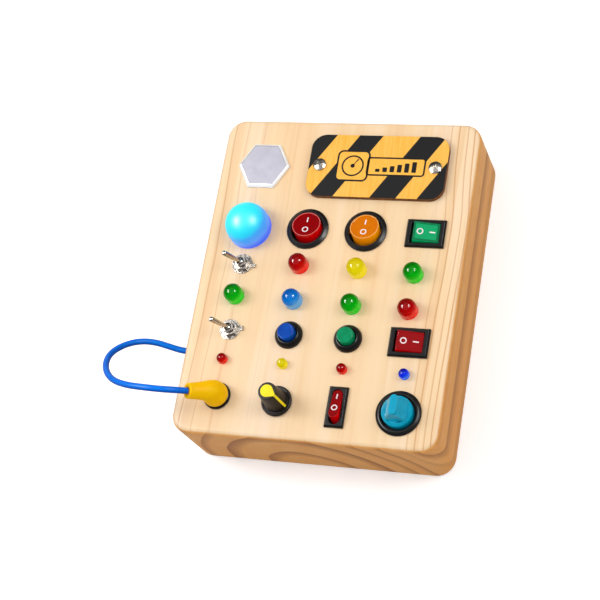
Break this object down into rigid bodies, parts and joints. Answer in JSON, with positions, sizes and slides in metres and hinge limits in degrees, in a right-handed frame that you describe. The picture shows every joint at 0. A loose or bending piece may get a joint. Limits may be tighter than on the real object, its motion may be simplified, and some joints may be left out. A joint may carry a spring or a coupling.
{
  "type": "wooden busy board",
  "caption": "Pine block busy board with rocker, toggle, push and rotary switches, lamps, a pointer knob, a mirror, a hazard-striped sign and a cord that plugs into a socket.",
  "frame": {"origin": "centre of the back, on the surface the board lies on", "axes": "+Z out of the face, +Y towards the edge beside the sign, +X towards the edge beside the rotary switch"},
  "size_m": [0.1879, 0.182, 0.0732],
  "materials": {
    "pine": "sanded, satin",
    "plywood": "sanded",
    "steel_screw": "plated",
    "black_plastic": "moulded",
    "cell_wrap": "wrapped can",
    "contact_steel": "plated",
    "mirror": "polished acrylic",
    "sign_print": "printed plywood",
    "bright_screw": "plated",
    "lamp_blue": "translucent, lit",
    "circuit_board": "white solder mask",
    "black_switch": "semi-gloss",
    "red_rocker": "translucent gloss",
    "amber_rocker": "translucent gloss",
    "green_rocker": "translucent gloss",
    "bushing_chrome": "nickel plate",
    "lever_chrome": "polished",
    "bright_washer": "bright plate",
    "blue_button": "satin gloss",
    "green_button": "satin gloss",
    "spring_steel": "drawn wire",
    "red_led": "clear tinted",
    "yellow_led": "clear tinted",
    "green_led": "clear tinted",
    "blue_led": "clear tinted",
    "deep_blue_led": "clear tinted",
    "shaft_aluminium": "turned",
    "dark_knob": "moulded",
    "yellow_cap": "gloss",
    "teal_knob": "gloss",
    "yellow_sleeve": "moulded vinyl",
    "blue_cord": "satin vinyl",
    "black_rubber": "matte",
    "contact_brass": "tinned"
  },
  "bodies": {
    "board": {"amber_round_body": "black_switch", "back_panel": "plywood", "back_panel_screws": "steel_screw", "battery_box": "black_plastic", "battery_cells": "cell_wrap", "battery_contacts": "contact_steel", "battery_door": "black_plastic", "battery_door_screw": "steel_screw", "blue_button_body": "black_switch", "blue_button_spring": "spring_steel", "cord": "blue_cord", "cord_grommet": "black_rubber", "cord_inner_end": "blue_cord", "green_button_body": "black_switch", "green_button_spring": "spring_steel", "green_flat_body": "black_switch", "jack_socket": "black_switch", "lamp_base": "black_plastic", "lamp_dome": "lamp_blue", "lamp_led_board": "circuit_board", "large_blue_led": "blue_led", "large_green_leds": "green_led", "large_red_leds": "red_led", "large_yellow_led": "yellow_led", "led_leads": "contact_steel", "lower_toggle_body": "bushing_chrome", "mirror": "mirror", "panel_nuts": "bright_washer", "pot_body": "bushing_chrome", "pot_nut": "bright_washer", "red_flat_body": "black_switch", "red_round_body": "black_switch", "rotary_body": "black_switch", "sign_plate": "sign_print", "sign_screws": "bright_screw", "slim_body": "black_switch", "small_blue_led": "deep_blue_led", "small_red_leds": "red_led", "small_yellow_led": "yellow_led", "switch_terminals": "contact_brass", "toggle_nuts": "bright_washer", "toggle_star_washers": "bright_washer", "toggle_tab_washers": "bright_washer", "upper_toggle_body": "bushing_chrome", "wood_housing": "pine"},
    "red_round_rocker_body": {"red_round_rocker": "red_rocker"},
    "amber_round_rocker_body": {"amber_round_rocker": "amber_rocker"},
    "green_flat_rocker_body": {"green_flat_rocker": "green_rocker"},
    "red_flat_rocker_body": {"red_flat_rocker": "red_rocker"},
    "slim_rocker_body": {"slim_rocker": "red_rocker"},
    "upper_toggle_lever_body": {"upper_toggle_lever": "lever_chrome"},
    "lower_toggle_lever_body": {"lower_toggle_lever": "lever_chrome"},
    "blue_button_cap_body": {"blue_button_cap": "blue_button"},
    "green_button_cap_body": {"green_button_cap": "green_button"},
    "pointer_knob": {"pot_knob": "dark_knob", "pot_knob_cap": "yellow_cap", "pot_shaft": "shaft_aluminium"},
    "rotary_knob_body": {"rotary_knob": "teal_knob"},
    "plug": {"plug_pin": "bushing_chrome", "plug_sleeve": "yellow_sleeve"}
  },
  "joints": [
    {"name": "red_round_tilt", "type": "hinge", "parent": "board", "child": "red_round_rocker_body", "pos_m": [-0.0151, 0.0262, 0.044], "axis": [1, 0, 0], "range_deg": [0, 26]},
    {"name": "amber_round_tilt", "type": "hinge", "parent": "board", "child": "amber_round_rocker_body", "pos_m": [0.0172, 0.0262, 0.044], "axis": [1, 0, 0], "range_deg": [0, 26]},
    {"name": "green_flat_tilt", "type": "hinge", "parent": "board", "child": "green_flat_rocker_body", "pos_m": [0.0499, 0.0262, 0.044], "axis": [0, -1, 0], "range_deg": [0, 22]},
    {"name": "red_flat_tilt", "type": "hinge", "parent": "board", "child": "red_flat_rocker_body", "pos_m": [0.0499, -0.0343, 0.044], "axis": [0, -1, 0], "range_deg": [0, 22]},
    {"name": "slim_tilt", "type": "hinge", "parent": "board", "child": "slim_rocker_body", "pos_m": [0.0172, -0.0714, 0.0435], "axis": [1, 0, 0], "range_deg": [0, 28]},
    {"name": "upper_toggle_swing", "type": "hinge", "parent": "board", "child": "upper_toggle_lever_body", "pos_m": [-0.0484, 0.0043, 0.048], "axis": [0, 1, 0], "range_deg": [0, 50]},
    {"name": "lower_toggle_swing", "type": "hinge", "parent": "board", "child": "lower_toggle_lever_body", "pos_m": [-0.0484, -0.0332, 0.048], "axis": [0, 1, 0], "range_deg": [0, 50]},
    {"name": "blue_button_press", "type": "slide", "parent": "board", "child": "blue_button_cap_body", "axis": [0, 0, -1], "range_m": [0, 0.003], "stiffness_N_per_m": 200, "springref_m": -0.002, "deforming": ["blue_button_spring"]},
    {"name": "green_button_press", "type": "slide", "parent": "board", "child": "green_button_cap_body", "axis": [0, 0, -1], "range_m": [0, 0.003], "stiffness_N_per_m": 200, "springref_m": -0.002, "deforming": ["green_button_spring"]},
    {"name": "pointer_knob_turn", "type": "hinge", "parent": "board", "child": "pointer_knob", "pos_m": [-0.0151, -0.0708, 0.045], "axis": [0, 0, 1], "range_deg": [-35, 265]},
    {"name": "rotary_turn", "type": "hinge", "parent": "board", "child": "rotary_knob_body", "pos_m": [0.0499, -0.072, 0.045], "axis": [0, 0, 1], "range_deg": [-90, 0]},
    {"name": "plug_pull", "type": "slide", "parent": "board", "child": "plug", "axis": [0, 0, 1], "range_m": [0, 0.016], "deforming": ["cord"]}
  ]
}
